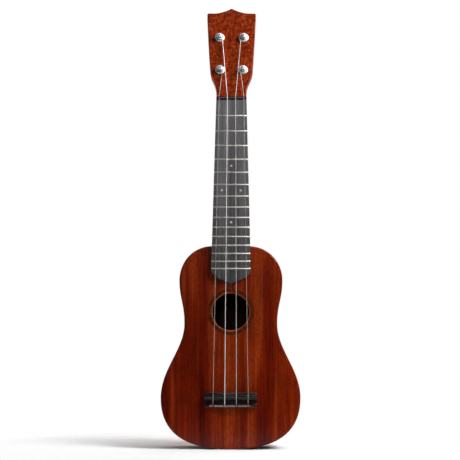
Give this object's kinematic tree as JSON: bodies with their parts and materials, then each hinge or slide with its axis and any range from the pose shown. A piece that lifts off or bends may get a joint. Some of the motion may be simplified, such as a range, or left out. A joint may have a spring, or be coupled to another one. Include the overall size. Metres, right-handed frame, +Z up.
{
  "type": "soprano ukulele",
  "caption": "Soprano ukulele with a hollow waisted mahogany body, fretted neck, tilted headstock, slotted bridge, nylon strings and friction pegs that turn.",
  "frame": {"origin": "middle of the box that holds the whole instrument, at the height of the body's tail, its lowest point", "axes": "+Z up the neck to the headstock, +Y out of the back, +X to the right seen from the front, where the strings are"},
  "size_m": [0.1642, 0.0706, 0.5268],
  "materials": {
    "body_mahogany": "Satin lacquered mahogany, reddish brown, straight vertical grain with open pores",
    "neck_mahogany": "Satin lacquered mahogany, with short dark flecks on the headstock",
    "raw_mahogany": "Bare sawn mahogany",
    "spruce": "Bare planed spruce",
    "board_rosewood": "Dark oiled rosewood, dull",
    "bridge_rosewood": "Dark brown oiled rosewood, slightly glossy",
    "rosette_inlay": "Dark dyed wood lines, lacquered over",
    "black_nut": "Polished black plastic",
    "fret_wire": "Polished nickel silver",
    "chrome": "Bright chrome plate",
    "nylon": "Clear nylon monofilament",
    "peg_button": "Moulded black plastic",
    "screw_steel": "Nickel-plated steel"
  },
  "bodies": {
    "instrument": {"soundboard": "body_mahogany", "back_plate": "body_mahogany", "side_left": "body_mahogany", "side_right": "body_mahogany", "lining_top_left": "raw_mahogany", "lining_top_right": "raw_mahogany", "lining_back_left": "raw_mahogany", "lining_back_right": "raw_mahogany", "neck_block": "raw_mahogany", "tail_block": "raw_mahogany", "bridge_plate": "spruce", "top_brace_upper": "spruce", "top_brace_lower": "spruce", "back_brace_upper": "spruce", "back_brace_lower": "spruce", "rosette": "rosette_inlay", "neck": "neck_mahogany", "fretboard": "board_rosewood", "nut": "black_nut", "bridge": "bridge_rosewood", "saddle": "black_nut", "fret_01": "fret_wire", "fret_02": "fret_wire", "fret_03": "fret_wire", "fret_04": "fret_wire", "fret_05": "fret_wire", "fret_06": "fret_wire", "fret_07": "fret_wire", "fret_08": "fret_wire", "fret_09": "fret_wire", "fret_10": "fret_wire", "fret_11": "fret_wire", "fret_12": "fret_wire", "fret_13": "fret_wire", "fret_14": "fret_wire", "fret_15": "fret_wire", "string_g": "nylon", "string_c": "nylon", "string_e": "nylon", "string_a": "nylon", "peg_bush_g": "chrome", "peg_washer_g": "chrome", "peg_bush_c": "chrome", "peg_washer_c": "chrome", "peg_bush_e": "chrome", "peg_washer_e": "chrome", "peg_bush_a": "chrome", "peg_washer_a": "chrome"},
    "peg_g": {"peg_shaft_g": "chrome", "peg_button_g": "peg_button", "peg_screw_g": "screw_steel"},
    "peg_c": {"peg_shaft_c": "chrome", "peg_button_c": "peg_button", "peg_screw_c": "screw_steel"},
    "peg_e": {"peg_shaft_e": "chrome", "peg_button_e": "peg_button", "peg_screw_e": "screw_steel"},
    "peg_a": {"peg_shaft_a": "chrome", "peg_button_a": "peg_button", "peg_screw_a": "screw_steel"}
  },
  "joints": [
    {"name": "peg_g_turn", "type": "hinge", "parent": "instrument", "child": "peg_g", "pos_m": [-0.01365, -0.01745, 0.44894], "axis": [0, -0.9781, 0.2079], "continuous": true},
    {"name": "peg_c_turn", "type": "hinge", "parent": "instrument", "child": "peg_c", "pos_m": [-0.0145, -0.00885, 0.48944], "axis": [0, -0.9781, 0.2079], "continuous": true},
    {"name": "peg_e_turn", "type": "hinge", "parent": "instrument", "child": "peg_e", "pos_m": [0.0145, -0.00885, 0.48944], "axis": [0, -0.9781, 0.2079], "continuous": true},
    {"name": "peg_a_turn", "type": "hinge", "parent": "instrument", "child": "peg_a", "pos_m": [0.01365, -0.01745, 0.44894], "axis": [0, -0.9781, 0.2079], "continuous": true}
  ]
}
